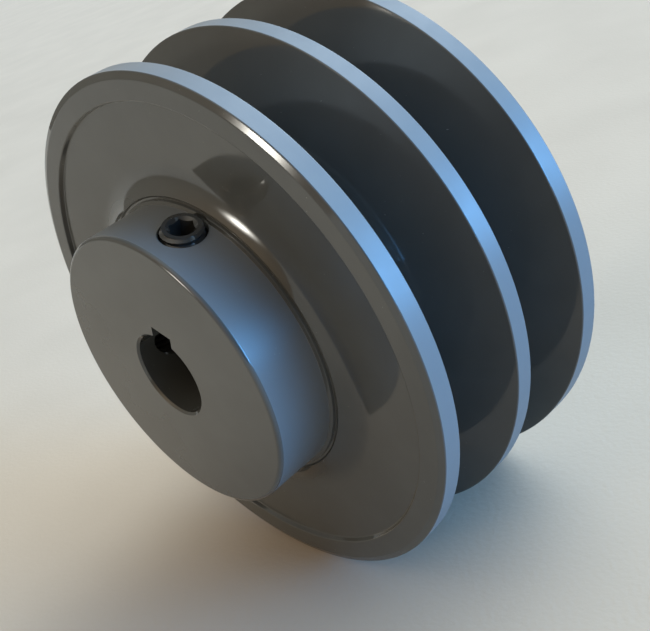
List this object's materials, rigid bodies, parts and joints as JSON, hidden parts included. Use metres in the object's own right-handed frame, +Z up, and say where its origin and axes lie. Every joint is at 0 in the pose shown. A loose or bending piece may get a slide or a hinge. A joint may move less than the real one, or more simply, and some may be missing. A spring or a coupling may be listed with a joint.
{
  "type": "v belt pulley",
  "caption": "Fixed-bore V-belt pulley with belt grooves side by side, a keyed hub standing out to one side and set screws in the hub.",
  "frame": {"origin": "on the bore axis, half way across the face width, in the middle of the rim between the two grooves", "axes": "+Y is the spin axis and runs from the hub end to the flush rear face; +Z is up; angles are counted from +Z towards +X"},
  "size_m": [0.1004, 0.0552, 0.1004],
  "materials": {
    "enamelled_casting": "gloss grey-olive enamel over turned cast iron",
    "enamelled_screw": "the same enamel, thin over black steel"
  },
  "bodies": {
    "sheave": {"sheave": "enamelled_casting"},
    "keyway_set_screw": {"keyway_set_screw": "enamelled_screw"},
    "quarter_turn_set_screw": {"quarter_turn_set_screw": "enamelled_screw"}
  },
  "joints": [
    {"name": "keyway_set_screw_travel", "type": "slide", "parent": "sheave", "child": "keyway_set_screw", "axis": [0.4067, 0, 0.9135], "range_m": [-0.0052, 0.009]},
    {"name": "quarter_turn_set_screw_travel", "type": "slide", "parent": "sheave", "child": "quarter_turn_set_screw", "axis": [-0.9135, 0, 0.4067], "range_m": [-0.0073, 0.009]}
  ]
}
